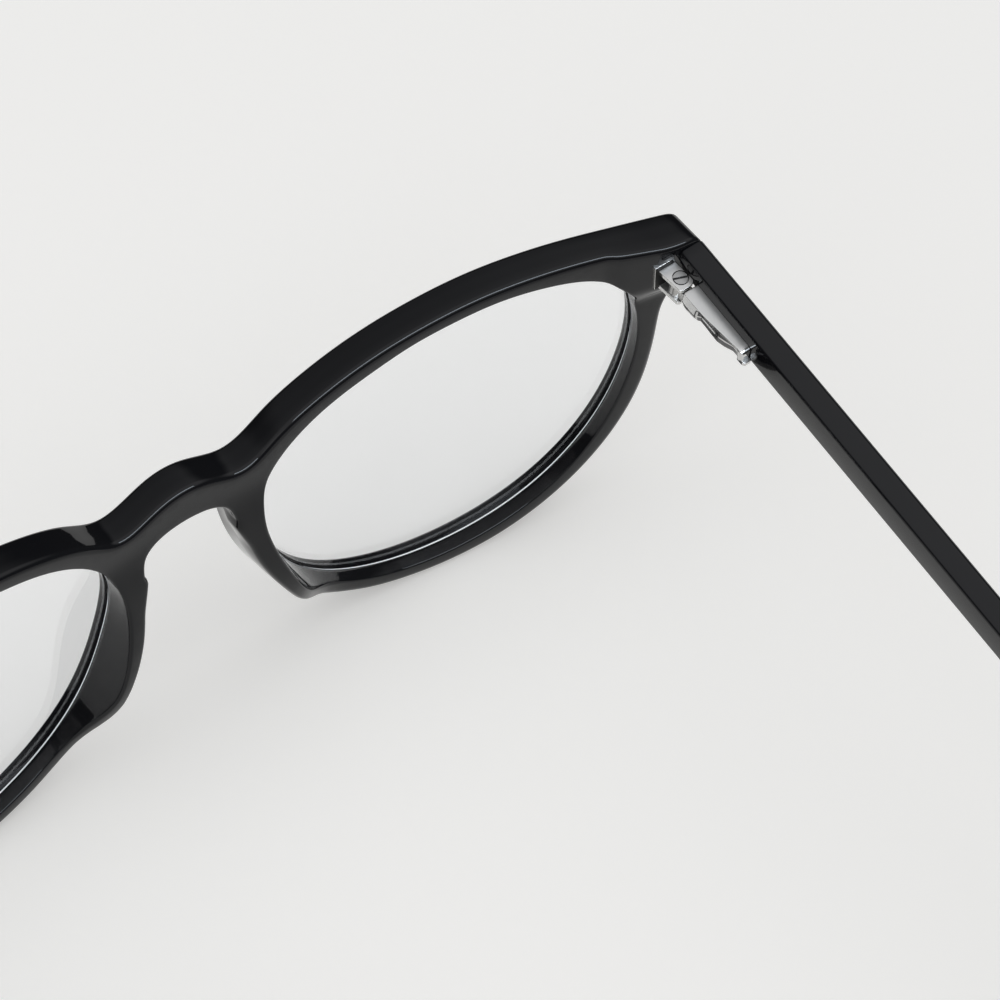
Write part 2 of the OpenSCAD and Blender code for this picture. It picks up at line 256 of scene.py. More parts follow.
def depth_of(x, z):
    """Thickness of the front at each point, pads and end blocks included."""
    ax = np.abs(x)
    g = 2 * WRAP * ax
    n = 1 / np.sqrt(1 + g * g)
    yb = np.interp(ax, BLOCK_X, BLOCK_Y)
    yb = natural(BLOCK_X, BLOCK_Y, np.clip(ax, 54, 68))
    block = np.maximum((yb - WRAP * ax * ax) / n - T0, 0) * smoothstep(55.5, 57.5, ax)
    block = block * smoothstep(35.4, 38.8, z)
    # seat of the hinge plate
    seat = smoothstep(59.7, 60.2, ax) * (1 - smoothstep(63.0, 63.4, ax)) * smoothstep(38.4, 38.9, z) * (1 - smoothstep(42.7, 43.2, z))
    flat = (11.98 - WRAP * ax * ax) / n - T0
    block = np.where(block > flat, block + (flat - block) * seat, block)
    a = pole_angle(x, z)
    pad = np.interp(a, PAD_A, PAD_H) * (ax < 30)
    w = 0.0
    for d in (-3, -1.5, 0, 1.5, 3):      # softens the straight pieces of the pad's profile
        pad_d = np.interp(a + d, PAD_A, PAD_H) * (ax < 30)
        w = w + pad_d / 5
    return T0 + block + w


def bend(x, z, dep, ratio):
    """Flat drawing and depth to the bent front. ratio is 1 at the nose side, 0 at the lens."""
    ax = np.abs(x); sg = np.where(x < 0, -1.0, 1.0)
    g = 2 * WRAP * ax
    n = 1 / np.sqrt(1 + g * g)
    keep = 1 - smoothstep(57, 61, ax) * smoothstep(34.5, 38, z)
    X = ax - g * n * dep * keep
    Y = WRAP * ax * ax + n * dep
    a = pole_angle(x, z)
    X = X + math.tan(math.radians(10.0)) * dep * ratio * pad_window(x, z)
    X = X - 0.55 * ratio * smoothstep(2.9, 3.7, dep) * smoothstep(181.0, 183.5, a) * (1 - smoothstep(196, 214, a)) * (ax < 30)
    return np.stack([sg * X, Y, z], -1)


def round_profile(rf, rr, T, steps, groove=None):
    """Offsets into the material and depths from the front face to the back face."""
    prof = []
    for k in range(steps + 1):
        a = math.pi / 2 * k / steps
        prof.append((rf * (1 - math.sin(a)), rf * (1 - math.cos(a))))
    if groove:
        prof += groove
    for k in range(steps + 1):
        a = math.pi / 2 * k / steps
        prof.append((rr * (1 - math.cos(a)), ("T", -rr * (1 - math.sin(a)))))
    return prof


def front_mesh():
    verts, faces = [], []
    loops = []

    def add(p3):
        base = len(verts)
        verts.extend(p3.tolist())
        return np.arange(base, base + len(p3))

    rings_front, rings_back = [], []
    for loop, kind in ((outline, "outer"), (hole_l, "hole"), (hole_r, "hole")):
        N = -loop_normals(loop)            # into the material
        for _ in range(2):
            N = 0.25 * np.roll(N, 1, 0) + 0.5 * N + 0.25 * np.roll(N, -1, 0)
            N /= np.linalg.norm(N, axis=1)[:, None]
        ax = np.abs(loop[:, 0])
        a = pole_angle(loop[:, 0], loop[:, 1])
        if kind == "outer":
            rf = np.full(len(loop), 0.6)
            ang = np.degrees(np.arctan2(loop[:, 1] - CZ, ax - CX))
            rr = 0.8 + 0.3 * smoothstep(8, -20, ang) * smoothstep(-140, -118, ang)
            # finer edges under the bridge and along the pads
            nose = smoothstep(14, 7, ax) * smoothstep(36.5, 35.5, loop[:, 1])
            rr = rr - 0.25 * nose
            pw = pad_window(loop[:, 0], loop[:, 1])
            rr = rr + 0.25 * pw
            end = smoothstep(62.5, 65, ax) * smoothstep(35, 38, loop[:, 1])
            rr = rr - 0.6 * end * smoothstep(66.0, 66.6, ax) - 0.15 * end
            grooves = None
        else:
            rf = np.full(len(loop), 0.3)
            rr = np.full(len(loop), 0.30) + 0.35 * pad_window(loop[:, 0], loop[:, 1])
            grooves = [(0.0, 1.0), (0.0, 1.35), (0.75, 2.0), (0.0, 2.68), (0.0, 3.1)]
        T = depth_of(loop[:, 0], loop[:, 1])
        steps = 6
        rows = []
        for k in range(steps + 1):
            an = math.pi / 2 * k / steps
            rows.append((rf * (1 - math.sin(an)), rf * (1 - math.cos(an))))
        if grooves:
            for o, d in grooves:
                rows.append((np.full(len(loop), o), np.full(len(loop), d)))
        else:
            for f in (0.33, 0.66):
                rows.append((np.zeros(len(loop)), rf + (T - rr - rf) * f))
        back = [None] * (steps + 1)
        for k in range(steps + 1):
            an = math.pi / 2 * k / steps
            back[k] = (rr * (1 - math.cos(an)), T - rr * (1 - math.sin(an)))
        rows += back
        ids = []
        for j, (o, d) in enumerate(rows):
            P = loop + N * np.asarray(o)[:, None]
            dep = np.asarray(d) + np.zeros(len(loop))
            if j > len(rows) - steps - 2:
                dep = dep + (depth_of(P[:, 0], P[:, 1]) - T)
            ratio = np.ones(len(loop)) if kind == "outer" else np.zeros(len(loop))
            if kind == "outer":
                ratio = 1 - np.asarray(o) / 3.0
            else:
                ratio = np.asarray(o) / 3.0 * (j > len(rows) - steps - 2)
            ids.append(add(bend(P[:, 0], P[:, 1], dep, ratio)))
        n = len(loop)
        for j in range(len(ids) - 1):
            A, B = ids[j], ids[j + 1]
            for i in range(n):
                k = (i + 1) % n
                faces.append((A[i], B[i], B[k], A[k]))
        inset_f = loop + N * rf[:, None]
        inset_b = loop + N * rr[:, None]
        rings_front.append((inset_f, ids[0]))
        rings_back.append((inset_b, ids[-1]))

    def fill(rings, side):
        pts = [r[0] for r in rings]
        idx = np.concatenate([r[1] for r in rings])
        P = np.vstack(pts)
        step = 0.9
        gx, gz = np.meshgrid(np.arange(-67, 67, step), np.arange(0, 49, step * 0.87))
        gx = gx + (np.arange(gx.shape[0]) % 2)[:, None] * step / 2
        G = np.stack([gx.ravel(), gz.ravel()], 1)
        inside = point_in(G, pts[0]) & ~point_in(G, pts[1]) & ~point_in(G, pts[2])
        G = G[inside]
        dmin = np.minimum.reduce([distance_to(G, p) for p in pts])
        G = G[dmin > 0.42]
        V2 = np.vstack([P, G])
        edges = []
        base = 0
        for p in pts:
            n = len(p)
            edges += [(base + i, base + (i + 1) % n) for i in range(n)]
            base += n
        res = delaunay_2d_cdt([Vector(v) for v in V2.tolist()], edges, [], 0, 1e-6)
        oco, _, ofaces, overts = res[0], res[1], res[2], res[3]
        d_out = distance_to(G, outline)
        d_in = np.minimum(distance_to(G, hole_l), distance_to(G, hole_r))
        ratio = d_in / (d_in + d_out)
        dep = np.zeros(len(G)) if side == "front" else depth_of(G[:, 0], G[:, 1])
        gid = add(bend(G[:, 0], G[:, 1], dep, ratio))
        allid = np.concatenate([idx, gid])
        table = [allid[o[0]] if len(o) else None for o in overts]
        outer, h1, h2 = pts
        for f in ofaces:
            c = np.mean([[oco[k][0], oco[k][1]] for k in f], 0)[None]
            if not point_in(c, outer)[0] or point_in(c, h1)[0] or point_in(c, h2)[0]:
                continue
            g = [table[k] for k in f]
            if None in g:
                continue
            faces.append(tuple(g) if side == "back" else tuple(g[::-1]))

    fill(rings_front, "front")
    fill(rings_back, "back")
    return verts, faces


def point_in(P, loop):
    x, y = P[:, 0][:, None], P[:, 1][:, None]
    x1, y1 = loop[:, 0], loop[:, 1]
    x2, y2 = np.roll(x1, -1), np.roll(y1, -1)
    out = np.zeros(len(P), bool)
    for i in range(0, len(P), 2000):
        xs, ys = x[i:i + 2000], y[i:i + 2000]
        cross = ((y1 > ys) != (y2 > ys)) & (xs < (x2 - x1) * (ys - y1) / (y2 - y1 + 1e-30) + x1)
        out[i:i + 2000] = cross.sum(1) % 2 == 1
    return out


def make(name, verts_mm, faces, mats, smooth=True, mat_index=None):
    """Mesh object from front millimetres."""
    me = bpy.data.meshes.new(name)
    V = row(np.array(verts_mm, float))
    me.from_pydata(V.tolist(), [], [tuple(int(i) for i in f) for f in faces])
    me.validate(clean_customdata=False)
    ob = bpy.data.objects.new(name, me)
    scene.collection.objects.link(ob)
    for m in mats:
        me.materials.append(m)
    if mat_index is not None:
        me.polygons.foreach_set("material_index", np.asarray(mat_index, np.int32))
    me.polygons.foreach_set("use_smooth", np.full(len(me.polygons), smooth))
    bm = bmesh.new(); bm.from_mesh(me)
    bmesh.ops.recalc_face_normals(bm, faces=bm.faces)
    bm.to_mesh(me); bm.free()
    me.update()
    return ob


def weighted(ob, sharp=None):
    """Shading normals led by the large faces, so flats stay flat beside their eased edges."""
    me = ob.data
    if sharp is not None:
        me.set_sharp_from_angle(angle=math.radians(sharp))
    bm = bmesh.new(); bm.from_mesh(me)
    bm.normal_update()
    bm.faces.ensure_lookup_table()
    nl = [None] * len(me.loops)
    fa = [f.calc_area() for f in bm.faces]
    for v in bm.verts:
        # faces round the vertex, grouped between sharp edges
        left = set(f.index for f in v.link_faces)
        while left:
            group = set(); todo = [left.pop()]
            while todo:
                fi = todo.pop(); group.add(fi)
                for e in bm.faces[fi].edges:
                    if v in e.verts and e.smooth and len(e.link_faces) == 2:
                        for g in e.link_faces:
                            if g.index in left:
                                left.discard(g.index); todo.append(g.index)
            n = Vector((0, 0, 0))
            for fi in group:
                n += bm.faces[fi].normal * fa[fi]
            n = n.normalized() if n.length > 0 else Vector((0, 0, 1))
            for fi in group:
                for lp in bm.faces[fi].loops:
                    if lp.vert is v:
                        nl[lp.index] = n
    bm.free()
    me.normals_split_custom_set([tuple(n) if n is not None else (0, 0, 1) for n in nl])


def cut_with(ob, cutter):
    """Takes the cutter's volume out of the object and removes the cutter."""
    m = ob.modifiers.new("cut", "BOOLEAN")
    m.operation = "DIFFERENCE"
    m.solver = "EXACT"
    m.object = cutter
    bpy.context.view_layer.update()
    dg = bpy.context.evaluated_depsgraph_get()
    new = bpy.data.meshes.new_from_object(ob.evaluated_get(dg))
    ob.modifiers.remove(m)
    old = ob.data
    ob.data = new
    bpy.data.meshes.remove(old)
    cm = cutter.data
    bpy.data.objects.remove(cutter)
    bpy.data.meshes.remove(cm)


# ------------------------------------------------------------------ materials
def new_mat(name):
    m = bpy.data.materials.new(name)
    m.use_nodes = True
    nt = m.node_tree
    nt.nodes.clear()
    out = nt.nodes.new("ShaderNodeOutputMaterial")
    bsdf = nt.nodes.new("ShaderNodeBsdfPrincipled")
    nt.links.new(bsdf.outputs[0], out.inputs[0])
    return m, nt, bsdf, out


def noise(nt, scale, detail=3.0, rough=0.5, coord=None, dist=0.0):
    t = nt.nodes.new("ShaderNodeTexNoise")
    t.inputs["Scale"].default_value = scale
    t.inputs["Detail"].default_value = detail
    t.inputs["Roughness"].default_value = rough
    t.inputs["Distortion"].default_value = dist
    if coord is not None:
        nt.links.new(coord, t.inputs["Vector"])
    return t


def ramp(nt, src, lo_v, hi_v, a=0.0, b=1.0):
    r = nt.nodes.new("ShaderNodeMapRange")
    r.inputs["From Min"].default_value = a
    r.inputs["From Max"].default_value = b
    r.inputs["To Min"].default_value = lo_v
    r.inputs["To Max"].default_value = hi_v
    nt.links.new(src, r.inputs["Value"])
    return r.outputs[0]


def acetate(name, tone):
    m, nt, b, out = new_mat(name)
    tc = nt.nodes.new("ShaderNodeTexCoord")
    o = tc.outputs["Object"]
    # faint depth in the black: milky clouds and fine flecks
    n1 = noise(nt, 90, 4, 0.55, o, 0.6)
    mix = nt.nodes.new("ShaderNodeMix"); mix.data_type = "RGBA"
    mix.inputs["A"].default_value = (tone * 0.75, tone * 0.75, tone * 0.9, 1)
    mix.inputs["B"].default_value = (tone * 1.3, tone * 1.3, tone * 1.5, 1)
    nt.links.new(n1.outputs["Fac"], mix.inputs["Factor"])
    nt.links.new(mix.outputs["Result"], b.inputs["Base Color"])
    # polish: slightly uneven gloss
    n2 = noise(nt, 260, 3, 0.5, o)
    nt.links.new(ramp(nt, n2.outputs["Fac"], 0.025, 0.06, 0.3, 0.7), b.inputs["Roughness"])
    # tumbling leaves a very soft waviness and hairline swirls
    n3 = noise(nt, 140, 2, 0.4, o)
    n4 = noise(nt, 3500, 2, 0.5, o)
    add = nt.nodes.new("ShaderNodeMath"); add.operation = "MULTIPLY_ADD"
    nt.links.new(n4.outputs["Fac"], add.inputs[0])
    add.inputs[1].default_value = 0.02
    nt.links.new(n3.outputs["Fac"], add.inputs[2])
    bump = nt.nodes.new("ShaderNodeBump")
    bump.inputs["Strength"].default_value = 0.035
    bump.inputs["Distance"].default_value = 0.0003
    nt.links.new(add.outputs[0], bump.inputs["Height"])
    nt.links.new(bump.outputs[0], b.inputs["Normal"])
    b.inputs["IOR"].default_value = 1.34
    b.inputs["Specular IOR Level"].default_value = 0.5
    return m


def metal(name, tone, rough_lo, rough_hi, scratch=0.0, brushed=0.0):
    m, nt, b, out = new_mat(name)
    tc = nt.nodes.new("ShaderNodeTexCoord")
    o = tc.outputs["Object"]
    n1 = noise(nt, 700, 4, 0.6, o)
    mix = nt.nodes.new("ShaderNodeMix"); mix.data_type = "RGBA"
    mix.inputs["A"].default_value = (tone[0] * 0.93, tone[1] * 0.93, tone[2] * 0.93, 1)
    mix.inputs["B"].default_value = (min(tone[0] * 1.05, 1), min(tone[1] * 1.05, 1), min(tone[2] * 1.04, 1), 1)
    nt.links.new(n1.outputs["Fac"], mix.inputs["Factor"])
    nt.links.new(mix.outputs["Result"], b.inputs["Base Color"])
    n2 = noise(nt, 1500, 3, 0.6, o)
    # the flats are brushed, the sides and edges polished
    sx = nt.nodes.new("ShaderNodeSeparateXYZ")
    nt.links.new(tc.outputs["Normal"], sx.inputs[0])
    flat = ramp(nt, sx.outputs[2], 0.0, brushed, 0.88, 0.97)
    ad = nt.nodes.new("ShaderNodeMath"); ad.operation = "ADD"
    nt.links.new(ramp(nt, n2.outputs["Fac"], rough_lo, rough_hi, 0.3, 0.7), ad.inputs[0])
    nt.links.new(flat, ad.inputs[1])
    nt.links.new(ad.outputs[0], b.inputs["Roughness"])
    mp = nt.nodes.new("ShaderNodeMapping")
    mp.inputs["Scale"].default_value = (9000, 700, 9000)
    nt.links.new(o, mp.inputs["Vector"])
    n3 = noise(nt, 1.0, 2, 0.5, mp.outputs[0])
    bump = nt.nodes.new("ShaderNodeBump")
    bump.inputs["Strength"].default_value = 0.10 + scratch
    bump.inputs["Distance"].default_value = 0.00002
    nt.links.new(n3.outputs["Fac"], bump.inputs["Height"])
    nt.links.new(bump.outputs[0], b.inputs["Normal"])
    b.inputs["Metallic"].default_value = 1.0
    return m


def lens_material(name):
    m, nt, b, out = new_mat(name)
    b.inputs["Base Color"].default_value = (0.985, 0.992, 1.0, 1)
    b.inputs["Roughness"].default_value = 0.0
    b.inputs["IOR"].default_value = 1.5
    b.inputs["Transmission Weight"].default_value = 1.0
    tc = nt.nodes.new("ShaderNodeTexCoord")
    n1 = noise(nt, 60, 2, 0.5, tc.outputs["Object"])
    bump = nt.nodes.new("ShaderNodeBump")
    bump.inputs["Strength"].default_value = 0.01
    bump.inputs["Distance"].default_value = 0.0001
    nt.links.new(n1.outputs["Fac"], bump.inputs["Height"])
    nt.links.new(bump.outputs[0], b.inputs["Normal"])
    lp = nt.nodes.new("ShaderNodeLightPath")
    tr = nt.nodes.new("ShaderNodeBsdfTransparent")
    tr.inputs[0].default_value = (0.97, 0.98, 0.985, 1)
    mx = nt.nodes.new("ShaderNodeMixShader")
    nt.links.new(lp.outputs["Is Shadow Ray"], mx.inputs[0])
    nt.links.new(b.outputs[0], mx.inputs[1])
    nt.links.new(tr.outputs[0], mx.inputs[2])
    nt.links.new(mx.outputs[0], out.inputs[0])
    return m


def bevel_material(name):
    m, nt, b, out = new_mat(name)
    tc = nt.nodes.new("ShaderNodeTexCoord")
    n1 = noise(nt, 2500, 3, 0.6, tc.outputs["Object"])
    mix = nt.nodes.new("ShaderNodeMix"); mix.data_type = "RGBA"
    mix.inputs["A"].default_value = (0.80, 0.84, 0.87, 1)
    mix.inputs["B"].default_value = (0.97, 0.98, 1.0, 1)
    nt.links.new(n1.outputs["Fac"], mix.inputs["Factor"])
    nt.links.new(mix.outputs["Result"], b.inputs["Base Color"])
    nt.links.new(ramp(nt, n1.outputs["Fac"], 0.35, 0.6), b.inputs["Roughness"])
    b.inputs["IOR"].default_value = 1.5
    # painted light: emission makes the ground edge glow as if it collected light through the lens; its frosted white
    # base colour is the edge's own
    b.inputs["Emission Color"].default_value = (0.93, 0.97, 1.0, 1)
    b.inputs["Emission Strength"].default_value = 0.45
    return m


M_FRONT = acetate("acetate_black_front", 0.0035)
M_TEMPLE = acetate("acetate_black_temple", 0.004)
M_LENS = lens_material("lens_clear")
# the ground lens edge glows by emission: painted light on top of its own white
M_BEVEL_GLOW = bevel_material("lens_ground_edge_painted_glow")
M_GROOVE = acetate("lens_edge_in_groove", 0.008)
M_HINGE = metal("nickel_leaf", (0.64, 0.635, 0.625), 0.08, 0.15, 0.0, 0.24)
M_SCREW = metal("screw_steel", (0.42, 0.415, 0.41), 0.14, 0.24, 0.1, 0.2)
# near-black metal painted as shade into the bore, the screw slot and the gap behind the leaves
M_PAINTED_SHADE = metal("painted_shade_in_bore", (0.035, 0.034, 0.033), 0.5, 0.6)
M_HOUSE = metal("nickel_housing", (0.62, 0.617, 0.612), 0.05, 0.10, 0.0, 0.27)
# near-black nickel painted as shade and dark reflection on the scooped side of the case
M_SCOOP_SHADE = metal("nickel_painted_shade_in_scoop", (0.07, 0.07, 0.072), 0.12, 0.25, 0.0, 0.2)
M_DARK = metal("milled_eye", (0.45, 0.445, 0.435), 0.18, 0.3, 0.2)

# ------------------------------------------------------------------ front
fv, ff = front_mesh()
front = make("front_acetate", fv, ff, [M_FRONT])
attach(front, "front")
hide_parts("front_frame", "nose_pad_right", "nose_pad_left")


# ------------------------------------------------------------------ lenses
def lens_mesh(s):
    n = 256
    th = np.linspace(0, 2 * math.pi, n, endpoint=False)
    edge = lens_curve(th)
    tang = np.roll(edge, -1, 0) - np.roll(edge, 1, 0)
    tang /= np.linalg.norm(tang, axis=1)[:, None]
    out_n = np.stack([tang[:, 1], -tang[:, 0]], 1)
    c = np.array([CX - 1.0, CZ - 7.3])
    verts, faces, mi = [], [], []
    BACK, FRONT = 2.66, 1.32

    def crown(P):
        q = (P - c) / np.array([25.0, 21.8])
        return 0.75 * np.clip(1 - (q ** 2).sum(-1), 0, 1)

    def ringv(P, dep):
        base = len(verts)
        x = P[:, 0]
        p = bend(x, P[:, 1], dep, np.zeros(len(P)))
        p[:, 0] *= s
        verts.extend(p.tolist())
        return np.arange(base, base + len(P))

    fr = [0.03, 0.1, 0.2, 0.3, 0.4, 0.5, 0.6, 0.7, 0.8, 0.88, 0.94, 0.98, 1.0]
    inner_b = edge - out_n * 0.03
    inner_f = edge - out_n * 0.10
    rb = [ringv(c + (inner_b - c) * f, BACK - crown(c + (inner_b - c) * f)) for f in fr]
    rf = [ringv(c + (inner_f - c) * f, FRONT - crown(c + (inner_f - c) * f)) for f in fr]
    edge_rings = [rb[-1], ringv(edge + out_n * 0.1, np.full(n, 2.1)), ringv(edge + out_n * 0.60, np.full(n, 1.98)), ringv(edge + out_n * 0.64, np.full(n, 1.95)),
                  ringv(edge + out_n * 0.60, np.full(n, 1.92)), rf[-1]]
    for R, m in ((rb, 0), (rf, 0), (edge_rings[:2], 1), (edge_rings[1:], 2)):
        for j in range(len(R) - 1):
            A, B = R[j], R[j + 1]
            for i in range(n):
                k = (i + 1) % n
                faces.append((A[i], A[k], B[k], B[i])); mi.append(m)
    for R in (rb[0], rf[0]):
        faces.append(tuple(R)); mi.append(0)
    return verts, faces, mi


for s, side in ((-1, "right"), (1, "left")):
    v, f, mi = lens_mesh(s)
    ob = make("lens_glass_" + side, v, f, [M_LENS, M_BEVEL_GLOW, M_GROOVE], mat_index=mi)
    # the ground edge meets the polished faces at a crisp line
    bm = bmesh.new(); bm.from_mesh(ob.data)
    for e in bm.edges:
        if len(e.link_faces) == 2 and e.link_faces[0].material_index != e.link_faces[1].material_index:
            e.smooth = False
    bm.to_mesh(ob.data); bm.free()
    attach(ob, "front")
    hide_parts("lens_" + side)

# ------------------------------------------------------------------ temples
MID_Z = 3.65 - 4.6 / 2
BY, TY = 86.0, 129.0
TR = 3.2
TZ = (TR - HZ + TY * ST) / CT
SPINE = [(-4, MID_Z, 2.3), (10, MID_Z, 2.3), (20, MID_Z, 2.3), (45, MID_Z, 2.3), (64, MID_Z, 2.3), (78, MID_Z - 0.1, 2.35), (86, MID_Z - 0.7, 2.45),
         (94, MID_Z - 2.5, 2.65), (103, MID_Z - 6, 2.9), (114, MID_Z - 10.8, 3.1), (129, TZ, 3.19)]


def temple_mesh(s):
    C = cubic(SPINE, 10)
    C = np.vstack([resample(C, 1.2, closed=False)])
    keep = C[:, 0] > -0.9
    C = C[keep]
    d = np.gradient(C[:, :2], axis=0)
    d /= np.linalg.norm(d, axis=1)[:, None]
    nrm = np.stack([-d[:, 1], d[:, 0]], 1)
    # section: corner radii outer top, inner top, inner bottom, outer bottom
    x0, x1 = 1.1, 4.6 - 0.0
    x1 = HALF - HX - 0.02
    verts, rings = [], []

    def section(h, lean, kx=1.0, kz=1.0):
        w0, w1 = x0 - lean, x1 - lean
        cx = (w0 + w1) / 2; hw = (w1 - w0) / 2
        radii = [(1, 1, 0.8), (-1, 1, 0.55), (-1, -1, 0.6), (1, -1, 1.0)]
        pts = []
        for (sx, sz, r) in radii:
            a0 = {(1, 1): 0, (-1, 1): 90, (-1, -1): 180, (1, -1): 270}[(sx, sz)]
            for k in range(9):
                a = math.radians(a0 + 90 * k / 8)
                pts.append((sx * (hw - r) + r * math.cos(a), sz * (h - r) + r * math.sin(a)))
        pts = np.array(pts)
        return np.stack([cx + pts[:, 0] * kx, pts[:, 1] * kz], 1)

    def place(sec, c, nv):
        return np.stack([sec[:, 0], c[0] + sec[:, 1] * nv[0], c[1] + sec[:, 1] * nv[1]], 1)

    stations = []
    for i in range(len(C)):
        y = C[i, 0]
        lean = 0.0 if y < BY else 0.8 * ((y - BY) / 43) ** 2
        stations.append((section(C[i, 2], lean), C[i, :2], nrm[i]))
    # domed end
    tip = stations[-1]
    dirv = d[-1]
    for k in range(1, 9):
        a = math.pi / 2 * k / 8
        kk = math.cos(a)
        lean = 0.8
        sec = section(TR, lean)
        cxm = sec[:, 0].mean()
        hwk = max(kk, 0.02)
        sec2 = np.stack([cxm + (sec[:, 0] - cxm) * (0.35 + 0.65 * hwk) if k < 8 else cxm + (sec[:, 0] - cxm) * 0.35, sec[:, 1] * hwk], 1)
        stations.append((sec2, C[-1, :2] + dirv * TR * math.sin(a), nrm[-1]))
    for sec, c, nv in stations:
        base = len(verts)
        verts.extend(place(sec, c, nv).tolist())
        rings.append(np.arange(base, base + len(sec)))
    faces = []
    m = len(rings[0])
    for j in range(len(rings) - 1):
        A, B = rings[j], rings[j + 1]
        for i in range(m):
            k = (i + 1) % m
            faces.append((A[i], A[k], B[k], B[i]))
    faces.append(tuple(rings[-1]))
    V = np.array(verts)
    # butt end: mitred to the upright back face of the end piece, edges eased
    front_ring = rings[0]
    P = hinge_point(1, V)
    cut = 12.47
    cen = P[front_ring].mean(0)
    V3 = P.copy()
    base_pts = P[front_ring]
    dir3 = np.array([0, CT, -ST])
    for off, inset in ((0.16, 0.0), (0.07, 0.02), (0.02, 0.07), (0.0, 0.15)):
        q = base_pts.copy()
        t = (cut + off - q[:, 1]) / dir3[1]
        q = q + t[:, None] * dir3
        c2 = q.mean(0)
        v = q - c2
        ln = np.linalg.norm(v, axis=1)[:, None]
        q = c2 + v * (1 - inset / ln)
        base = len(V3)
        V3 = np.vstack([V3, q])
        new = np.arange(base, base + m)
        for i in range(m):
            k = (i + 1) % m
            faces.append((new[i], new[k], front_ring[k], front_ring[i]))
        front_ring = new
    faces.append(tuple(front_ring[::-1]))
    V3[:, 0] *= s
    return V3, faces


for s, side in ((-1, "right"), (1, "left")):
    v, f = temple_mesh(s)
    ob = make("temple_acetate_" + side, v, f, [M_TEMPLE])
    box = np.array([(x, y, z) for x in (-3, 1.9) for y in (-6, 1.9) for z in (-1.75, 1.75)], float)
    quads = [(0, 1, 3, 2), (4, 6, 7, 5), (0, 4, 5, 1), (2, 3, 7, 6), (0, 2, 6, 4), (1, 5, 7, 3)]
    cut_with(ob, make("cutter", hinge_point(s, box), quads, [M_TEMPLE], smooth=False))
    ob.data.set_sharp_from_angle(angle=math.radians(45))
    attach(ob, "temple_" + side)
    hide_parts("temple_" + side)


# ------------------------------------------------------------------ hinge pieces
def prism(name, s, plan, z0, z1, mat, bevel=0.05, seg=3, local=True, axis="z"):
    """Plan drawn along one axis of the hinge frame, all edges eased."""
    bm = bmesh.new()
    n = len(plan)
    def pt(a, b, c):
        return {"z": (a, b, c), "x": (c, a, b), "y": (a, c, b)}[axis]
    lo_v = [bm.verts.new(pt(p[0], p[1], z0)) for p in plan]
    hi_v = [bm.verts.new(pt(p[0], p[1], z1)) for p in plan]
    bm.faces.new(lo_v[::-1]); bm.faces.new(hi_v)
    for i in range(n):
        bm.faces.new((lo_v[i], lo_v[(i + 1) % n], hi_v[(i + 1) % n], hi_v[i]))
    bmesh.ops.recalc_face_normals(bm, faces=bm.faces)
    if bevel > 0:
        bmesh.ops.bevel(bm, geom=list(bm.edges), offset=bevel, segments=seg, profile=0.5, affect="EDGES", clamp_overlap=True)
    me = bpy.data.meshes.new(name)
    bm.to_mesh(me); bm.free()
    co = np.zeros(len(me.vertices) * 3); me.vertices.foreach_get("co", co)
    P = co.reshape(-1, 3)
    Q = hinge_point(s, P) if local else P * np.array([s, 1, 1])
    me.vertices.foreach_set("co", row(Q).ravel())
    ob = bpy.data.objects.new(name, me)
    scene.collection.objects.link(ob)
    me.materials.append(mat)
    bm = bmesh.new(); bm.from_mesh(me); bmesh.ops.recalc_face_normals(bm, faces=bm.faces); bm.to_mesh(me); bm.free()
    me.polygons.foreach_set("use_smooth", np.ones(len(me.polygons), bool))
    me.set_sharp_from_angle(angle=math.radians(40))
    me.update()
    return ob


def join(name, parts):
    """Several closed shells as one piece."""
    bm = bmesh.new()
    mats = []
    for p in parts:
        start = len(bm.faces)
        bm.from_mesh(p.data)
        bm.faces.ensure_lookup_table()
        for m in p.data.materials:
            if m not in mats:
                mats.append(m)
        for f in bm.faces[start:]:
            f.material_index = mats.index(p.data.materials[f.material_index])
    me = bpy.data.meshes.new(name)
    bm.to_mesh(me); bm.free()
    for m in mats:
        me.materials.append(m)
    ob = bpy.data.objects.new(name, me)
    scene.collection.objects.link(ob)
    for p in parts:
        old = p.data
        bpy.data.objects.remove(p)
        bpy.data.meshes.remove(old)
    return ob


def lathe(name, s, profile, n, mat, axis="z", origin=(0, 0, 0)):
    """Turned piece: (radius, height) points round the screw or the pull rod."""
    verts, faces = [], []
    rings = []
    for r, h in profile:
        base = len(verts)
        for i in range(n):
            a = 2 * math.pi * i / n
            p = (r * math.cos(a), r * math.sin(a), h) if axis == "z" else (r * math.cos(a), h, r * math.sin(a))
            verts.append((p[0] + origin[0], p[1] + origin[1], p[2] + origin[2]))
        rings.append(range(base, base + n))
    for j in range(len(rings) - 1):
        A, B = rings[j], rings[j + 1]
        for i in range(n):
            faces.append((A[i], A[(i + 1) % n], B[(i + 1) % n], B[i]))
    faces.append(tuple(rings[0])); faces.append(tuple(rings[-1]))
    ob = make(name, hinge_point(s, np.array(verts)), faces, [mat])
    ob.data.set_sharp_from_angle(angle=math.radians(40))
    return ob


LEAF = [(-1.62, -2.3), (0.73, -2.3), (1.07, 0.85), (1.0, 1.12), (0.74, 1.36), (0.5, 1.45), (-0.76, 1.53), (-0.97, 1.41), (-1.1, 1.28)]


def leaf(s, z0, z1):
    return prism("leaf", s, LEAF, z0, z1, M_HINGE, 0.055, 3)


def disc(name, s, r, z0, z1, mat, n=64):
    return lathe(name, s, [(r, z0), (r, z1)], n, mat)


